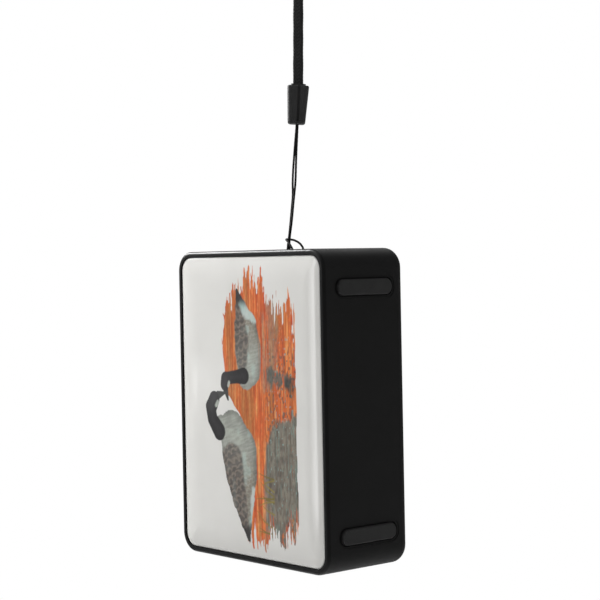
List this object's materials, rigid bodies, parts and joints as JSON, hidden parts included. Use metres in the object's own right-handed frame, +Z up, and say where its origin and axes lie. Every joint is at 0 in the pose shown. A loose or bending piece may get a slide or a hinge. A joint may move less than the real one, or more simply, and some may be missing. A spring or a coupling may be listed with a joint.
{
  "type": "electronic game caller",
  "caption": "Pocket battery loudspeaker box with a printed front panel, side keys, a round rear grille, rubber feet and a hinged port flap, hung on a woven wrist lanyard.",
  "frame": {"origin": "the seat of the lanyard loop, on the inside of the loop's top, where a hook or a wrist bears", "axes": "+Z up along the length of the hanging box, +X towards the two feet (the side it stands on when it lies on its long side), +Y towards the loudspeaker grille, so the printed panel faces -Y"},
  "size_m": [0.0824, 0.038, 0.2822],
  "materials": {
    "printed_panel": "gloss print under a clear coat",
    "bezel_plastic": "fine satin",
    "housing_plastic": "fine matte texture",
    "foot_rubber": "matte moulded rubber",
    "key_rubber": "matte silicone with moulded icons",
    "flap_plastic": "matte",
    "grille_steel": "satin powder coat",
    "grille_fabric": "fine woven mesh",
    "strap_weave": "flat woven braid",
    "cord_weave": "fine braided cord",
    "ferrule_plastic": "satin",
    "pin_steel": "drawn",
    "screw_steel": "blackened",
    "circuit_laminate": "solder mask",
    "chip_resin": "moulded resin",
    "can_aluminium": "sleeved can",
    "contact_steel": "stamped",
    "jack_plastic": "matte",
    "switch_steel": "stamped",
    "lens_clear": "clear light pipe",
    "flex_film": "polyimide film",
    "cell_wrap": "shrink sleeve over a steel can",
    "tab_nickel": "plain",
    "tray_plastic": "matte",
    "lead_sleeve": "silicone sleeve",
    "basket_steel": "satin paint",
    "magnet_ferrite": "sintered",
    "plate_steel": "zinc plated",
    "cone_paper": "pressed pulp",
    "roll_rubber": "satin",
    "spider_cloth": "impregnated cloth",
    "coil_copper": "wound wire",
    "seal_foam": "closed-cell foam",
    "glue_film": "clear film"
  },
  "bodies": {
    "root": {"amplifier_chip": "chip_resin", "aux_jack": "jack_plastic", "battery_cell": "cell_wrap", "battery_cradle": "tray_plastic", "battery_leads": "lead_sleeve", "battery_tabs": "tab_nickel", "board_capacitors": "can_aluminium", "board_screws": "screw_steel", "button_board": "circuit_laminate", "button_switches": "switch_steel", "cover_screws": "screw_steel", "cradle_screws": "screw_steel", "driver_basket": "basket_steel", "driver_gasket": "seal_foam", "driver_magnet": "magnet_ferrite", "driver_screws": "screw_steel", "driver_spider": "spider_cloth", "driver_surround": "roll_rubber", "driver_terminals": "tab_nickel", "driver_top_plate": "plate_steel", "driver_yoke": "plate_steel", "flex_cable": "flex_film", "foot_pad_lower": "foot_rubber", "foot_pad_upper": "foot_rubber", "front_cover": "bezel_plastic", "front_panel": "printed_panel", "front_seal": "seal_foam", "grille_cloth": "grille_fabric", "housing": "housing_plastic", "lanyard_cord": "cord_weave", "lanyard_ferrule": "ferrule_plastic", "lanyard_pin": "pin_steel", "lanyard_strap": "strap_weave", "main_board": "circuit_laminate", "memory_chip": "chip_resin", "panel_adhesive": "glue_film", "processor_chip": "chip_resin", "rear_cover": "housing_plastic", "rear_grille": "grille_steel", "rear_seal": "seal_foam", "speaker_leads": "lead_sleeve", "status_led": "lens_clear", "status_lens": "lens_clear", "usb_port": "contact_steel", "usb_tongue": "jack_plastic"},
    "power_key": {"power_button": "key_rubber", "power_plunger": "jack_plastic"},
    "volume_down_key": {"volume_down_button": "key_rubber", "volume_down_plunger": "jack_plastic"},
    "play_key": {"play_button": "key_rubber", "play_plunger": "jack_plastic"},
    "volume_up_key": {"volume_up_button": "key_rubber", "volume_up_plunger": "jack_plastic"},
    "call_key": {"call_button": "key_rubber", "call_plunger": "jack_plastic"},
    "port_flap": {"port_cover": "flap_plastic"},
    "cone_unit": {"driver_cone": "cone_paper", "driver_dust_cap": "cone_paper", "driver_voice_coil": "coil_copper"}
  },
  "joints": [
    {"name": "power_press", "type": "slide", "parent": "root", "child": "power_key", "axis": [1, 0, 0], "range_m": [0, 0.00035], "stiffness_N_per_m": 2000, "springref_m": -0.0002},
    {"name": "volume_down_press", "type": "slide", "parent": "root", "child": "volume_down_key", "axis": [1, 0, 0], "range_m": [0, 0.00035], "stiffness_N_per_m": 2000, "springref_m": -0.0002},
    {"name": "play_press", "type": "slide", "parent": "root", "child": "play_key", "axis": [1, 0, 0], "range_m": [0, 0.00035], "stiffness_N_per_m": 2000, "springref_m": -0.0002},
    {"name": "volume_up_press", "type": "slide", "parent": "root", "child": "volume_up_key", "axis": [1, 0, 0], "range_m": [0, 0.00035], "stiffness_N_per_m": 2000, "springref_m": -0.0002},
    {"name": "call_press", "type": "slide", "parent": "root", "child": "call_key", "axis": [1, 0, 0], "range_m": [0, 0.00035], "stiffness_N_per_m": 2000, "springref_m": -0.0002},
    {"name": "port_flap_hinge", "type": "hinge", "parent": "root", "child": "port_flap", "pos_m": [0, -0.01492, -0.28016], "axis": [1, 0, 0], "range_deg": [0, 100]},
    {"name": "cone_throw", "type": "slide", "parent": "root", "child": "cone_unit", "axis": [0, 1, 0], "range_m": [-0.001, 0.001], "stiffness_N_per_m": 1200, "deforming": ["driver_surround", "driver_spider"]}
  ]
}
